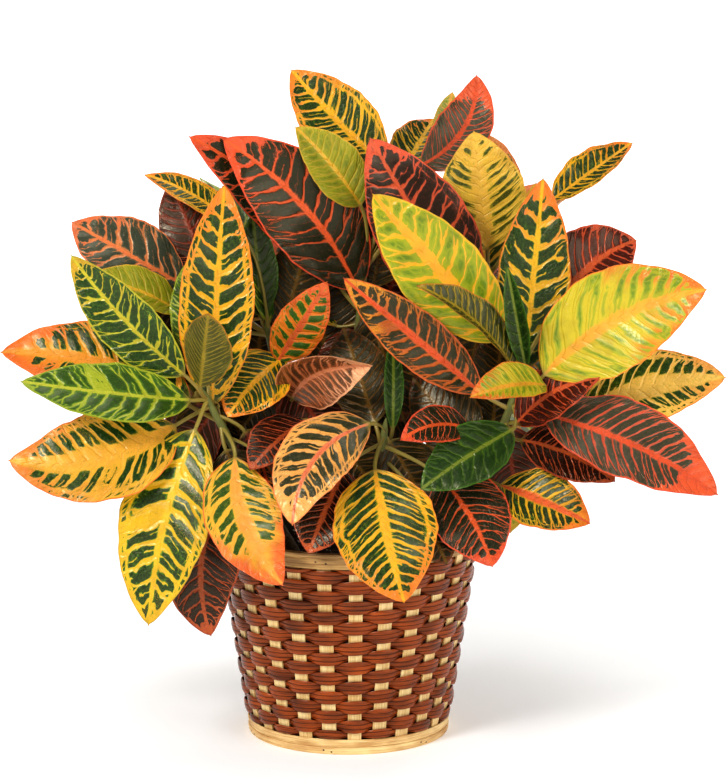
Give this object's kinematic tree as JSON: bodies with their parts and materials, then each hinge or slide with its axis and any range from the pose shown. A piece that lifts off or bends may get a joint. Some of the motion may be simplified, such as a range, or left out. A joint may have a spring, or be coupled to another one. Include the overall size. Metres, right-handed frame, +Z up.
{
  "type": "potted croton house plant in a woven basket",
  "caption": "Bushy croton house plant with broad veined leathery leaves, standing in soil in a plastic pot inside a tapered woven splint basket with pale hoops.",
  "frame": {"origin": "centre of the basket's flat underside, on the surface it stands on", "axes": "+Z up, along the basket's axis; -Y towards the viewer of the plant's best side, +X to that viewer's right"},
  "size_m": [0.5319, 0.4016, 0.4913],
  "materials": {
    "stakes": "pale bare rattan splint, satin",
    "weaver": "brown stained and varnished splint, semi-gloss",
    "hoops": "pale bare rattan, satin",
    "base": "thin plywood disc, matt",
    "pot": "black moulded plastic, satin",
    "soil": "moist peat and bark potting mix, matt",
    "foliage": "thick waxy leaves, green, yellow, orange and red, semi-gloss"
  },
  "bodies": {
    "root": {"basket_base": "base", "foot_hoop_outer": "hoops", "rim_hoop_outer": "hoops", "rim_hoop_inner": "hoops", "stake_01": "stakes", "stake_02": "stakes", "stake_03": "stakes", "stake_04": "stakes", "stake_05": "stakes", "stake_06": "stakes", "stake_07": "stakes", "stake_08": "stakes", "stake_09": "stakes", "stake_10": "stakes", "stake_11": "stakes", "stake_12": "stakes", "stake_13": "stakes", "stake_14": "stakes", "stake_15": "stakes", "stake_16": "stakes", "stake_17": "stakes", "stake_18": "stakes", "stake_19": "stakes", "stake_20": "stakes", "stake_21": "stakes", "stake_22": "stakes", "stake_23": "stakes", "stake_24": "stakes", "stake_25": "stakes", "weaver_strip": "weaver", "grower_pot": "pot", "soil": "soil", "croton_stem_left": "foliage", "croton_stem_right": "foliage", "croton_stem_top_left": "foliage", "croton_stem_top_right": "foliage", "croton_stem_front": "foliage", "croton_stem_middle": "foliage", "croton_stem_back_left": "foliage", "croton_stem_back_right": "foliage"}
  },
  "joints": []
}
